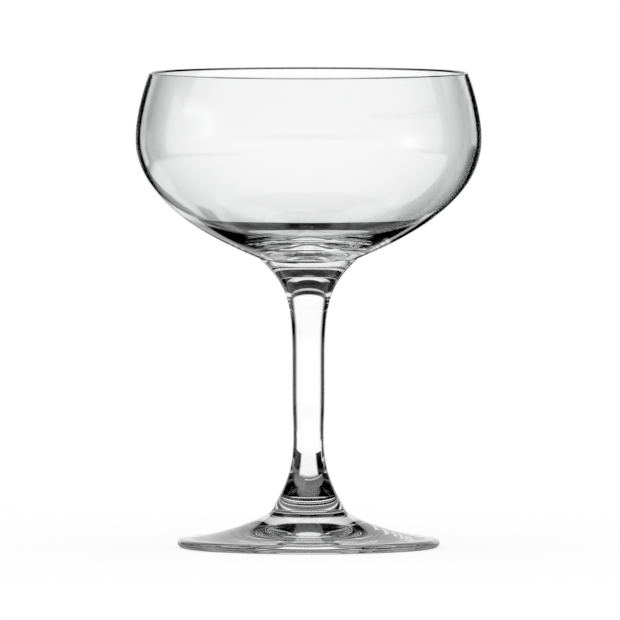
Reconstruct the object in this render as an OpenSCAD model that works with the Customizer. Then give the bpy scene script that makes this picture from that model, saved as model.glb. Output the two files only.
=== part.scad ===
// Coupe glass: a blown bowl, a drawn stem and a spun foot, fire-welded to each other.
// It stands on z = 0 with its axis on Z. Each solid is one turned outline, and the two
// pieces at a weld share the curve of that weld.

/* [Bowl] */
// Outside diameter of the bowl at its widest
bowl_d = 100; // [84:1:120]
// Distance that the rim draws in from the widest point, on each side
mouth_draw = 3.75; // [0:0.25:8]
// Height of the bowl from the edge of its seat to the rim
bowl_h = 53.6; // [44:0.1:70]
// Depth of the widest point below the rim
belly_drop = 19.1; // [10:0.1:26]
// Inward lean of the wall at the rim, in degrees
rim_lean = 20; // [0:1:28]
// Wall at the rim
rim_wall = 1.1; // [0.7:0.1:2]
// Wall at the widest point
belly_wall = 1.4; // [0.8:0.1:3]
// Glass between the lowest point inside the bowl and the stem
base_wall = 5; // [2.5:0.5:10]

/* [Stem] */
// Height of the stem between the edges of its two welds
stem_h = 72.8; // [60:0.1:120]
// Diameter of the upper part of the shaft
stem_d = 9.4; // [7:0.1:14]
// Diameter of the thinnest part, the waist near the foot
waist_d = 8.9; // [6.5:0.1:13]
// Diameter of the cup that holds the bowl
seat_d = 28.8; // [22:0.2:36]
// Depth of that cup
seat_sag = 2.8; // [1:0.1:4]
// Height of the flare under the bowl
throat_h = 32.4; // [20:0.1:36]
// Diameter of the end that is welded to the foot
ankle_d = 21.2; // [16:0.2:28]
// Roundness of that end, from its edge to its lowest point
ankle_sag = 1.2; // [0.4:0.1:3]
// Height of the flare above the foot
ankle_h = 21.5; // [10:0.5:30]

/* [Foot] */
// Diameter of the foot
foot_d = 75.6; // [60:0.2:90]
// Height of the hub from the table to the edge of the stem's weld
hub_h = 10.8; // [7:0.1:16]
// Thickness of the foot at its rim
edge_h = 2.6; // [1.6:0.1:4]
// Fall of the top of the foot at its rim, in degrees
edge_fall = 5; // [0:1:12]
// Width of the flat ring that the foot stands on
land_w = 3; // [1:0.5:8]
// Height of the shallow dome under the foot
dome_h = 1.6; // [0.5:0.1:4]

/* [Hidden] */

// Smoothness of the turned solids and of their outlines
turn_fn = 180;
curve_steps = 16;
arc_steps = 8;

// Pull of each curve's two ends, as shares of the height or reach of that curve
wall_shares = [0.38, 0.14];
underside_shares = [0.44, 0.63];
floor_shares = [0.48, 1.19];
throat_shares = [0.39, 0.56];
waist_shares = [0.5, 0.5];
ankle_shares = [0.41, 0.48];
foot_shares = [0.07, 0.5];
// Slopes of the stem below the bowl and above the foot, in degrees from the level
throat_slope = 42;
ankle_slope = 61;
// Share of the shaft, from the foot, over which the waist swells to the full diameter
waist_share = 0.7;

clear_glass = [0.88, 0.93, 0.94, 0.5];

bowl_r = bowl_d / 2;
mouth_r = bowl_r - mouth_draw;
stem_r = stem_d / 2;
waist_r = waist_d / 2;
seat_r = seat_d / 2;
ankle_r = ankle_d / 2;
foot_r = foot_d / 2;
land_r = foot_r - edge_h / 2;
dome_r = land_r - land_w;

seat_z = hub_h + stem_h;
rim_z = seat_z + bowl_h;
belly_z = rim_z - belly_drop;
base_z = seat_z - seat_sag + base_wall;
waist_z = hub_h + ankle_h;
throat_z = seat_z - throat_h;

// Unit vector at an angle in degrees from the +X direction
function heading(angle) = [cos(angle), sin(angle)];

// Points in the other order
function backwards(points) = [for (i = [len(points) - 1 : -1 : 0]) points[i]];

// Cubic curve from a to d pulled towards b and c, without its first point
function curve(a, b, c, d) = [
    for (i = [1 : curve_steps])
        let (t = i / curve_steps, s = 1 - t)
            a * s * s * s + b * 3 * s * s * t + c * 3 * s * t * t + d * t * t * t
];

// Arc about a centre between two angles, without its first point
function arc(centre, radius, from, to) = [
    for (i = [1 : arc_steps]) centre + radius * heading(from + (to - from) * i / arc_steps)
];

// Radius of the sphere whose cap is so wide and so deep
function cap_radius(r, sag) = (r * r + sag * sag) / (2 * sag);

// Slope at the edge of that cap, in degrees
function cap_slope(r, sag) = asin(r / cap_radius(r, sag));

// Outline of a cap from its pole on the axis to its edge at height z
function cap(r, z, sag) =
    let (sphere_r = cap_radius(r, sag), slope = cap_slope(r, sag))
        [for (i = [0 : arc_steps])
            let (a = slope * i / arc_steps)
                [sphere_r * sin(a), z - sag + sphere_r * (1 - cos(a))]];

// The two welds, each shared by the pieces that meet in it
bowl_weld = cap(seat_r, seat_z, seat_sag);
foot_weld = cap(ankle_r, hub_h, ankle_sag);

// Blown bowl: its outside from the seat to the rim, and its inside back to the axis
module bowl() {
    seat = [seat_r, seat_z];
    belly = [bowl_r, belly_z];
    belly_in = [bowl_r - belly_wall, belly_z];
    base_in = [0, base_z];
    rim_centre = [mouth_r - rim_wall / 2, rim_z - rim_wall / 2];
    rim_out = rim_centre + rim_wall / 2 * heading(rim_lean);
    rim_in = rim_centre - rim_wall / 2 * heading(rim_lean);
    down_wall = heading(rim_lean - 90) * belly_drop * wall_shares[1];
    up_wall = [0, belly_drop * wall_shares[0]];
    seat_slope = cap_slope(seat_r, seat_sag);
    low_pull = seat + heading(seat_slope) * (bowl_r - seat_r) * underside_shares[1];
    high_pull = belly - [0, (belly_z - seat_z) * underside_shares[0]];
    // The line between the two pulls, moved in by the wall, meets the level of the floor here
    pulls = high_pull - low_pull;
    floor_reach = belly_in[0] - (high_pull[1] - base_z) * pulls[0] / pulls[1];
    color(clear_glass)
        rotate_extrude($fn = turn_fn)
            polygon(concat(
                bowl_weld,
                curve(seat, low_pull, high_pull, belly),
                curve(belly, belly + up_wall, rim_out + down_wall, rim_out),
                arc(rim_centre, rim_wall / 2, rim_lean, rim_lean + 180),
                curve(rim_in, rim_in + down_wall, belly_in + up_wall, belly_in),
                curve(
                    belly_in,
                    belly_in - [0, (belly_z - base_z) * floor_shares[0]],
                    [floor_reach * floor_shares[1], base_z],
                    base_in
                )
            ));
}

// Drawn stem: a domed end in the foot, a waist, a straight shaft and a flared cup
module stem() {
    ankle = [ankle_r, hub_h];
    waist = [waist_r, waist_z];
    shaft_h = throat_z - waist_z;
    shaft = [stem_r, waist_z + shaft_h * waist_share];
    throat = [stem_r, throat_z];
    seat = [seat_r, seat_z];
    swell = [0, shaft_h * waist_share];
    color(clear_glass)
        rotate_extrude($fn = turn_fn)
            polygon(concat(
                foot_weld,
                curve(
                    ankle,
                    ankle + heading(180 - ankle_slope) * ankle_h * ankle_shares[1],
                    waist - [0, ankle_h * ankle_shares[0]],
                    waist
                ),
                curve(waist, waist + swell * waist_shares[0], shaft - swell * waist_shares[1], shaft),
                [throat],
                curve(
                    throat,
                    throat + [0, throat_h * throat_shares[1]],
                    seat + heading(180 + throat_slope) * throat_h * throat_shares[0],
                    seat
                ),
                [for (p = backwards(bowl_weld)) if (p != seat) p]
            ));
}

// Spun foot: a domed underside inside a flat ring, a round rim and a top that rises to the hub
module foot() {
    rim_centre = [land_r, edge_h / 2];
    rim_top = rim_centre + edge_h / 2 * heading(90 - edge_fall);
    hub = [ankle_r, hub_h];
    reach = foot_r - ankle_r;
    color(clear_glass)
        rotate_extrude($fn = turn_fn)
            polygon(concat(
                cap(dome_r, 0, -dome_h),
                [[land_r, 0]],
                arc(rim_centre, edge_h / 2, -90, 90 - edge_fall),
                curve(
                    rim_top,
                    rim_top + heading(180 - edge_fall) * reach * foot_shares[1],
                    hub + heading(-ankle_slope) * reach * foot_shares[0],
                    hub
                ),
                [for (p = backwards(foot_weld)) if (p != hub) p]
            ));
}

bowl();
stem();
foot();
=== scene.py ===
"""Coupe glass: the looks of a blown bowl, a drawn stem and a spun foot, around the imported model.

The sizes of the glass and its outlines are in millimetres, and the meshes and the stage are in
metres. An outline is a list of (radius, height), turned about the axis of the glass, which is Z.
"""
import math

import bpy
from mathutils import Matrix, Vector


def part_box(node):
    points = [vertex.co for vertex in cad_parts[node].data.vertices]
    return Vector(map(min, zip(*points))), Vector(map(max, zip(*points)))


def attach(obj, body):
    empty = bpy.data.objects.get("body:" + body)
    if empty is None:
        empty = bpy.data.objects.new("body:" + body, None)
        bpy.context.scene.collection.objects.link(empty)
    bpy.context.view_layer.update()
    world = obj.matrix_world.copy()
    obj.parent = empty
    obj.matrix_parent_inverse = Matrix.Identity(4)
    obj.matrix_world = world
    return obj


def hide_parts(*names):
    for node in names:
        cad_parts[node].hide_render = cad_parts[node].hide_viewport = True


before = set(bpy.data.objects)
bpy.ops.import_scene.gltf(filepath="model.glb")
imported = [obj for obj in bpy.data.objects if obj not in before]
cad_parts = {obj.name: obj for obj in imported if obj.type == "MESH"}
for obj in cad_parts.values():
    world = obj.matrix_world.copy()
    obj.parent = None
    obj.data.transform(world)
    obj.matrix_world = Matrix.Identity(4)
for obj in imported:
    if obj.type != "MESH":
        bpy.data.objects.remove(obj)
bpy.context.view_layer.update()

MM = 0.001

# What the frame gives: the widths, the rim, the welds' edges and the depth of their curves
bowl_low, bowl_high = (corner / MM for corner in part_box("bowl"))
stem_low, stem_high = (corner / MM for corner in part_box("stem"))
foot_low, foot_high = (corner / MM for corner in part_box("foot"))
BOWL_R = bowl_high.x
RIM_Z = bowl_high.z
SEAT_R = stem_high.x
SEAT_Z = stem_high.z
SEAT_SAG = SEAT_Z - bowl_low.z
FOOT_R = foot_high.x
HUB_Z = foot_high.z
ANKLE_SAG = HUB_Z - stem_low.z

# Sizes of the bowl that its box doesn't give
MOUTH_DRAW = 3.75
BELLY_DROP = 19.1
RIM_LEAN = 20
RIM_WALL = 1.1
BELLY_WALL = 1.4
BASE_WALL = 5.0
# Sizes of the stem
STEM_R = 4.7
WAIST_R = 4.45
THROAT_H = 32.4
THROAT_SLOPE = 42
ANKLE_R = 10.6
ANKLE_H = 21.5
ANKLE_SLOPE = 61
WAIST_SHARE = 0.7
# Sizes of the foot
EDGE_H = 2.6
EDGE_FALL = 5
LAND_W = 3.0
DOME_H = 1.6
# Pull of each curve's two ends, as shares of the height or reach of that curve
WALL_SHARES = (0.38, 0.14)
UNDERSIDE_SHARES = (0.44, 0.63)
FLOOR_SHARES = (0.48, 1.19)
THROAT_SHARES = (0.39, 0.56)
WAIST_SHARES = (0.5, 0.5)
ANKLE_SHARES = (0.41, 0.48)
FOOT_SHARES = (0.07, 0.5)

# Fineness of the turned meshes
TURN_STEPS = 256
CURVE_STEPS = 56
ARC_STEPS = 16
# A point with a smaller radius is on the axis
ON_AXIS = 1e-6

# Camera: the photograph's distance, angle and scale, and the point that it looks at
CAMERA_DISTANCE = 6.0
CAMERA_ELEVATION = 2.6
PHOTO_SIDE_PX = 620
PX_PER_MM = 3.464
AIM = Vector((0.0004, 0, 0.0686))
SENSOR_MM = 36
CAMERA_REACH = 50

WHITE = (1, 1, 1, 1)
# What glass lets through straight on, and painted shade that darkens it at a slant to draw its dark
# edges
CLEAR = (0.997, 0.999, 0.998, 1)
SLANT_PAINTED_SHADE = (0.46, 0.48, 0.48, 1)
SLANT_SHADE_POWER = 2
GLASS_IOR = 1.5
# Ripple of each piece's surface: its material, waves per metre along X, Y and Z, and depth in metres
RIPPLES = {
    "bowl": ("blown_glass", (60, 60, 90), 4e-6),
    "stem": ("drawn_glass", (240, 240, 30), 3e-6),
    "foot": ("spun_glass", (90, 90, 400), 4e-6),
}
RIPPLE_DETAIL = 2
# How often light may turn: glass in front of glass needs many
GLASS_BOUNCES = 32
GLOSS_BOUNCES = 16


def heading(degrees):
    """Unit vector at an angle from the outward direction."""
    return Vector((math.cos(math.radians(degrees)), math.sin(math.radians(degrees))))


def curve(a, b, c, d, steps=CURVE_STEPS):
    """Cubic curve from a to d pulled towards b and c, without its first point."""
    points = []
    for i in range(1, steps + 1):
        t = i / steps
        s = 1 - t
        points.append(a * s**3 + b * 3 * s * s * t + c * 3 * s * t * t + d * t**3)
    return points


def arc(centre, radius, start, end, steps=ARC_STEPS):
    """Arc about a centre between two angles, without its first point."""
    return [centre + heading(start + (end - start) * i / steps) * radius for i in range(1, steps + 1)]


def cap_angle(r, sag):
    """Half angle, in degrees, of the sphere's cap that is so wide and so deep."""
    return math.degrees(2 * math.atan(sag / r))


def cap(r, z, sag, steps=ARC_STEPS):
    """Outline of a cap from its pole on the axis to its edge at height z."""
    sphere_r = (r * r + sag * sag) / (2 * sag)
    slope = math.radians(cap_angle(r, sag))
    points = []
    for i in range(steps + 1):
        a = slope * i / steps
        points.append(Vector((sphere_r * math.sin(a), z - sag + sphere_r * (1 - math.cos(a)))))
    return points


def bowl_outline():
    """The weld, the outside up to the rim, and the inside back to the axis."""
    weld = cap(SEAT_R, SEAT_Z, SEAT_SAG)
    belly_z = RIM_Z - BELLY_DROP
    base_z = SEAT_Z - SEAT_SAG + BASE_WALL
    seat = weld[-1]
    belly = Vector((BOWL_R, belly_z))
    belly_in = Vector((BOWL_R - BELLY_WALL, belly_z))
    base_in = Vector((0, base_z))
    rim_centre = Vector((BOWL_R - MOUTH_DRAW - RIM_WALL / 2, RIM_Z - RIM_WALL / 2))
    rim_out = rim_centre + heading(RIM_LEAN) * RIM_WALL / 2
    rim_in = rim_centre - heading(RIM_LEAN) * RIM_WALL / 2
    down_wall = heading(RIM_LEAN - 90) * BELLY_DROP * WALL_SHARES[1]
    up_wall = Vector((0, BELLY_DROP * WALL_SHARES[0]))
    low_pull = seat + heading(cap_angle(SEAT_R, SEAT_SAG)) * (BOWL_R - SEAT_R) * UNDERSIDE_SHARES[1]
    high_pull = belly - Vector((0, (belly_z - SEAT_Z) * UNDERSIDE_SHARES[0]))
    pulls = high_pull - low_pull
    floor_reach = belly_in.x - (high_pull.y - base_z) * pulls.x / pulls.y
    along_floor = Vector((floor_reach * FLOOR_SHARES[1], base_z))
    drop_in = Vector((0, (belly_z - base_z) * FLOOR_SHARES[0]))
    surface = (
        curve(seat, low_pull, high_pull, belly)
        + curve(belly, belly + up_wall, rim_out + down_wall, rim_out)
        + arc(rim_centre, RIM_WALL / 2, RIM_LEAN, RIM_LEAN + 180)
        + curve(rim_in, rim_in + down_wall, belly_in + up_wall, belly_in)
        + curve(belly_in, belly_in - drop_in, along_floor, base_in)
    )
    return weld, surface, []


def stem_outline():
    """The end in the foot, the side up to the bowl, and the cup that holds the bowl."""
    low_weld = cap(ANKLE_R, HUB_Z, ANKLE_SAG)
    high_weld = cap(SEAT_R, SEAT_Z, SEAT_SAG)
    ankle, seat = low_weld[-1], high_weld[-1]
    waist = Vector((WAIST_R, HUB_Z + ANKLE_H))
    throat = Vector((STEM_R, SEAT_Z - THROAT_H))
    swell = Vector((0, (throat.y - waist.y) * WAIST_SHARE))
    shaft = Vector((STEM_R, waist.y + swell.y))
    up_ankle = heading(180 - ANKLE_SLOPE) * ANKLE_H * ANKLE_SHARES[1]
    into_seat = heading(180 + THROAT_SLOPE) * THROAT_H * THROAT_SHARES[0]
    surface = (
        curve(ankle, ankle + up_ankle, waist - Vector((0, ANKLE_H * ANKLE_SHARES[0])), waist)
        + curve(waist, waist + swell * WAIST_SHARES[0], shaft - swell * WAIST_SHARES[1], shaft)
        + [throat]
        + curve(throat, throat + Vector((0, THROAT_H * THROAT_SHARES[1])), seat + into_seat, seat)
    )
    return low_weld, surface, high_weld[-2::-1]


def foot_outline():
    """The domed underside, the flat ring, the rim, the top up to the hub, and the weld."""
    weld = cap(ANKLE_R, HUB_Z, ANKLE_SAG)
    hub = weld[-1]
    land_r = FOOT_R - EDGE_H / 2
    rim_centre = Vector((land_r, EDGE_H / 2))
    rim_top = rim_centre + heading(90 - EDGE_FALL) * EDGE_H / 2
    reach = FOOT_R - ANKLE_R
    along_top = heading(180 - EDGE_FALL) * reach * FOOT_SHARES[1]
    off_hub = heading(-ANKLE_SLOPE) * reach * FOOT_SHARES[0]
    surface = (
        cap(land_r - LAND_W, 0, -DOME_H)
        + [Vector((land_r, 0))]
        + arc(rim_centre, EDGE_H / 2, -90, 90 - EDGE_FALL)
        + curve(rim_top, rim_top + along_top, hub + off_hub, hub)
    )
    return [], surface, weld[-2::-1]


def turned(name, outline):
    """Closed mesh of an outline turned about Z. The faces of its welds use the second material."""
    low_weld, surface, high_weld = outline
    points = low_weld + surface + high_weld
    verts, rings = [], []
    for r, z in points:
        start = len(verts)
        count = TURN_STEPS if r > ON_AXIS else 1
        for j in range(count):
            a = 2 * math.pi * j / TURN_STEPS
            verts.append((r * MM * math.cos(a), r * MM * math.sin(a), z * MM))
        rings.append([start + j % count for j in range(TURN_STEPS + 1)])
    faces, welded = [], []
    last_low = len(low_weld) - 1
    first_high = len(points) - len(high_weld) - 1
    for i, (lower, upper) in enumerate(zip(rings, rings[1:])):
        for j in range(TURN_STEPS):
            corners = (lower[j], lower[j + 1], upper[j + 1], upper[j])
            faces.append(tuple(dict.fromkeys(corners)))
            welded.append(i < last_low or i >= first_high)
    mesh = bpy.data.meshes.new(name)
    mesh.from_pydata(verts, [], faces)
    mesh.polygons.foreach_set("material_index", [int(w) for w in welded])
    mesh.polygons.foreach_set("use_smooth", [True] * len(faces))
    mesh.update()
    piece = bpy.data.objects.new(name, mesh)
    bpy.context.scene.collection.objects.link(piece)
    return piece


class Maths:
    """Builds Math nodes in a tree from sockets and numbers."""

    def __init__(self, tree):
        self.tree = tree

    def __call__(self, operation, *values):
        node = self.tree.nodes.new("ShaderNodeMath")
        node.operation = operation
        for slot, value in zip(node.inputs, values):
            if isinstance(value, (int, float)):
                slot.default_value = value
            else:
                self.tree.links.new(value, slot)
        return node.outputs[0]

    def split(self, vector):
        """The three parts of a vector."""
        node = self.tree.nodes.new("ShaderNodeSeparateXYZ")
        self.tree.links.new(vector, node.inputs[0])
        return node.outputs

    def turn(self, x, y, azimuth):
        """How far a point lies along an azimuth from +Y towards +X, and how far across it."""
        s, c = math.sin(math.radians(azimuth)), math.cos(math.radians(azimuth))
        along = self("ADD", self("MULTIPLY", x, s), self("MULTIPLY", y, c))
        across = self("SUBTRACT", self("MULTIPLY", x, c), self("MULTIPLY", y, s))
        return along, across

    def ramp(self, value, start, end):
        """0 below start and 1 above end, smooth between; falling where end is below start."""
        node = self.tree.nodes.new("ShaderNodeMapRange")
        node.interpolation_type = "SMOOTHSTEP"
        self.tree.links.new(value, node.inputs["Value"])
        low, high = min(start, end), max(start, end)
        node.inputs["From Min"].default_value = low
        node.inputs["From Max"].default_value = high
        node.inputs["To Min"].default_value = 0 if start < end else 1
        node.inputs["To Max"].default_value = 1 if start < end else 0
        return node.outputs["Result"]


def new_material(name):
    """An empty node material: its tree and its output node."""
    material = bpy.data.materials.new(name)
    material.use_nodes = True
    tree = material.node_tree
    tree.nodes.clear()
    return material, tree, tree.nodes.new("ShaderNodeOutputMaterial")


def glass_material(name, ripple_scale, ripple_depth):
    """Clear glass whose surface has a faint ripple, and which lets less through at a slant, as
    painted shade that draws its dark edges.
    """
    material, tree, output = new_material(name)
    shader = tree.nodes.new("ShaderNodeBsdfPrincipled")
    slant = tree.nodes.new("ShaderNodeLayerWeight")
    colour = tree.nodes.new("ShaderNodeMix")
    colour.data_type = "RGBA"
    colour.inputs["A"].default_value = CLEAR
    colour.inputs["B"].default_value = SLANT_PAINTED_SHADE
    # Painted shade: the colour goes darker at a slant, which draws the dark edges of the glass
    painted_shade_share = Maths(tree)("POWER", slant.outputs["Facing"], SLANT_SHADE_POWER)
    tree.links.new(painted_shade_share, colour.inputs["Factor"])
    tree.links.new(colour.outputs["Result"], shader.inputs["Base Color"])
    shader.inputs["Roughness"].default_value = 0
    shader.inputs["IOR"].default_value = GLASS_IOR
    shader.inputs["Transmission Weight"].default_value = 1
    place = tree.nodes.new("ShaderNodeTexCoord")
    stretch = tree.nodes.new("ShaderNodeMapping")
    stretch.inputs["Scale"].default_value = ripple_scale
    noise = tree.nodes.new("ShaderNodeTexNoise")
    noise.inputs["Scale"].default_value = 1
    noise.inputs["Detail"].default_value = RIPPLE_DETAIL
    bump = tree.nodes.new("ShaderNodeBump")
    bump.inputs["Strength"].default_value = 1
    bump.inputs["Distance"].default_value = ripple_depth
    tree.links.new(place.outputs["Object"], stretch.inputs["Vector"])
    tree.links.new(stretch.outputs["Vector"], noise.inputs["Vector"])
    tree.links.new(noise.outputs["Fac"], bump.inputs["Height"])
    tree.links.new(bump.outputs["Normal"], shader.inputs["Normal"])
    tree.links.new(shader.outputs["BSDF"], output.inputs["Surface"])
    return material


def weld_material():
    """A fused weld can't be seen: the light goes through its two faces unbent."""
    material, tree, output = new_material("fused_weld")
    clear = tree.nodes.new("ShaderNodeBsdfTransparent")
    tree.links.new(clear.outputs["BSDF"], output.inputs["Surface"])
    return material


def make_glass():
    """The three pieces, each in place of its CAD node."""
    weld = weld_material()
    outlines = {"bowl": bowl_outline(), "stem": stem_outline(), "foot": foot_outline()}
    for node, outline in outlines.items():
        piece = turned(f"clear_{node}", outline)
        piece.data.materials.append(glass_material(*RIPPLES[node]))
        piece.data.materials.append(weld)
        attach(piece, "root")
        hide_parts(node)


def seen_rays(tree, maths):
    """1 for rays of the camera, and 1 for rays that glass or gloss sends on."""
    path = tree.nodes.new("ShaderNodeLightPath")
    through = maths("MAXIMUM", path.outputs["Is Glossy Ray"], path.outputs["Is Transmission Ray"])
    return path.outputs["Is Camera Ray"], through


# White zones that the glass sees: azimuth from +Y towards +X, half width where the zone is full,
# width of its soft side, nearest and farthest reach, width of the soft far end, and strength. The
# near ends share one soft width. Reach is the elevation in degrees for the cards, which stand
# beyond the table, and metres from the glass for the sheets, which lie on it
CARDS = (
    (0, 30, 14, -3.2, 23, 3, 1.0),
    (-14, 20, 4, -90, -3.2, 3, 1.0),
    (-90, 16, 12, -90, 14, 3, 1.0),
    (135, 14, 10, -90, -4, 3, 1.0),
    (0, 40, 20, 50, 66, 3, 0.9),
    (180, 70, 20, -90, 0, 8, 1.0),
)
CARD_EDGE = 3
SHEETS = (
    (0, 15, 6, 0.05, 0.17, 0.012, 1.0),
    (30, 24, 4, 0.022, 0.05, 0.012, 0.15),
    (-33, 19, 5, 0.19, 0.36, 0.15, 1.0),
    (-112, 68, 8, 0.085, 0.36, 0.15, 1.0),
    (128, 52, 4, 0.085, 0.60, 0.012, 1.0),
    (180, 40, 10, 0.085, 0.60, 0.012, 1.0),
    (180, 130, 8, 0.022, 0.085, 0.012, 0.5),
)
SHEET_EDGE = 0.012
# The plain light on everything that isn't glass
LIGHT_LEVEL = 1.0


def zone_light(maths, x, y, reach, zones, edge):
    """How bright the zones are at a point or in a direction; 0 between them."""
    light = 0
    for azimuth, half, side, near, far, fade, strength in zones:
        along, across = maths.turn(x, y, azimuth)
        off = maths("ABSOLUTE", maths("MULTIPLY", maths("ARCTAN2", across, along), 180 / math.pi))
        lit = maths("MULTIPLY", maths.ramp(off, half + side, half), strength)
        lit = maths("MULTIPLY", lit, maths.ramp(reach, near - edge, near))
        lit = maths("MULTIPLY", lit, maths.ramp(reach, far + fade, far))
        light = maths("MAXIMUM", light, lit)
    return light


def make_world():
    """White to the camera, white cards in a dark room to the glass, and plain soft light."""
    world = bpy.data.worlds.new("studio")
    bpy.context.scene.world = world
    world.use_nodes = True
    tree = world.node_tree
    tree.nodes.clear()
    maths = Maths(tree)
    camera, through = seen_rays(tree, maths)
    place = tree.nodes.new("ShaderNodeTexCoord")
    x, y, z = maths.split(place.outputs["Generated"])
    elevation = maths("MULTIPLY", maths("ARCSINE", z), 180 / math.pi)
    cards = zone_light(maths, x, y, elevation, CARDS, CARD_EDGE)
    plain = maths("MULTIPLY", maths("SUBTRACT", 1, maths("MAXIMUM", camera, through)), LIGHT_LEVEL)
    level = maths("ADD", camera, maths("ADD", maths("MULTIPLY", through, cards), plain))
    light = tree.nodes.new("ShaderNodeBackground")
    light.inputs["Color"].default_value = WHITE
    tree.links.new(level, light.inputs["Strength"])
    output = tree.nodes.new("ShaderNodeOutputWorld")
    tree.links.new(light.outputs["Background"], output.inputs["Surface"])


def flat_object(name, corners, material):
    """One flat face of the stage."""
    mesh = bpy.data.meshes.new(name)
    mesh.from_pydata(corners, [], [tuple(range(len(corners)))])
    mesh.materials.append(material)
    flat = bpy.data.objects.new(name, mesh)
    bpy.context.scene.collection.objects.link(flat)


# The table: its size, the light that it gives back, so that a shadow shows, and its white
FLOOR_R = 0.52
FLOOR_SIDES = 96
FLOOR_ALBEDO = 0.24
FLOOR_WHITE = 1.0


def make_floor():
    """Plain white table that takes a soft shadow; the glass sees white sheets on a dark table."""
    material, tree, output = new_material("white_floor")
    maths = Maths(tree)
    camera, through = seen_rays(tree, maths)
    spot = tree.nodes.new("ShaderNodeTexCoord")
    x, y, _ = maths.split(spot.outputs["Object"])
    reach = maths("SQRT", maths("ADD", maths("MULTIPLY", x, x), maths("MULTIPLY", y, y)))
    sheets = zone_light(maths, x, y, reach, SHEETS, SHEET_EDGE)
    shade = maths("MAXIMUM", maths("SUBTRACT", 1, through), sheets)
    colour = tree.nodes.new("ShaderNodeCombineColor")
    for channel in colour.inputs:
        tree.links.new(maths("MULTIPLY", shade, FLOOR_ALBEDO), channel)
    diffuse = tree.nodes.new("ShaderNodeBsdfDiffuse")
    tree.links.new(colour.outputs["Color"], diffuse.inputs["Color"])
    glow = tree.nodes.new("ShaderNodeEmission")
    lift = FLOOR_WHITE - FLOOR_ALBEDO * LIGHT_LEVEL
    seen = maths("ADD", camera, maths("MULTIPLY", through, sheets))
    tree.links.new(maths("MULTIPLY", seen, lift), glow.inputs["Strength"])
    both = tree.nodes.new("ShaderNodeAddShader")
    tree.links.new(diffuse.outputs[0], both.inputs[0])
    tree.links.new(glow.outputs[0], both.inputs[1])
    tree.links.new(both.outputs[0], output.inputs["Surface"])
    turns = [2 * math.pi * i / FLOOR_SIDES for i in range(FLOOR_SIDES)]
    corners = [(FLOOR_R * math.cos(a), FLOOR_R * math.sin(a), 0) for a in turns]
    flat_object("floor", corners, material)


# Upright cards that only the glass sees, as a photographer sets them. Black ones beside the bowl
# draw the dark line along its edges, and a low black one does so where the stem meets the foot. A
# low white one closes the gap behind the sheet, as the stem sees it. Name, brightness, the two ends
# (x, y), the share of its length over which each end fades away, and the heights of its bottom and
# top. Lengths are in metres
UPRIGHTS = (
    ("card_left", 0, (-0.058, 0.058), (-0.114, 0.114), 0.05, 0.03, 0.15),
    ("card_right", 0, (0.058, 0.058), (0.114, 0.114), 0.05, 0.03, 0.15),
    ("low_card", 0, (-0.068, 0.073), (-0.089, 0.045), 0.05, 0, 0.026),
    ("card_behind", 1, (-0.15, 0.17), (0.15, 0.17), 0.15, 0, 0.024),
)


def make_uprights():
    """The upright cards, which the camera and the shadows pass through."""
    for name, strength, start, end, fade, bottom, top in UPRIGHTS:
        material, tree, output = new_material(name)
        maths = Maths(tree)
        _, through = seen_rays(tree, maths)
        spot = tree.nodes.new("ShaderNodeTexCoord")
        along = maths.split(spot.outputs["Object"])[0]
        first, last = sorted((start[0], end[0]))
        soft = fade * (last - first)
        fade_in = maths.ramp(along, first, first + soft)
        fade_out = maths.ramp(along, last, last - soft)
        full = maths("MULTIPLY", fade_in, fade_out)
        clear = tree.nodes.new("ShaderNodeBsdfTransparent")
        glow = tree.nodes.new("ShaderNodeEmission")
        glow.inputs["Strength"].default_value = strength
        mix = tree.nodes.new("ShaderNodeMixShader")
        tree.links.new(maths("MULTIPLY", through, full), mix.inputs[0])
        tree.links.new(clear.outputs[0], mix.inputs[1])
        tree.links.new(glow.outputs[0], mix.inputs[2])
        tree.links.new(mix.outputs[0], output.inputs["Surface"])
        low, high = ([(*end_point, z) for end_point in (start, end)] for z in (bottom, top))
        flat_object(name, (low[0], low[1], high[1], high[0]), material)


def make_camera():
    """Looks at the glass as the photograph does, from far away with a long lens."""
    data = bpy.data.cameras.new("camera")
    data.sensor_width = SENSOR_MM
    data.lens = CAMERA_DISTANCE / MM * PX_PER_MM / PHOTO_SIDE_PX * SENSOR_MM
    data.clip_end = CAMERA_REACH
    camera = bpy.data.objects.new("camera", data)
    bpy.context.scene.collection.objects.link(camera)
    e = math.radians(CAMERA_ELEVATION)
    camera.location = AIM + Vector((0, -math.cos(e), math.sin(e))) * CAMERA_DISTANCE
    camera.rotation_euler = (math.pi / 2 - e, 0, 0)
    bpy.context.scene.camera = camera


def set_light_paths():
    """Many bounces for the glass, and colours that show as they are."""
    scene = bpy.context.scene
    scene.view_settings.view_transform = "Standard"
    scene.cycles.max_bounces = GLASS_BOUNCES
    scene.cycles.transmission_bounces = GLASS_BOUNCES
    scene.cycles.glossy_bounces = GLOSS_BOUNCES
    scene.cycles.transparent_max_bounces = GLASS_BOUNCES


make_glass()
make_world()
make_floor()
make_uprights()
make_camera()
set_light_paths()
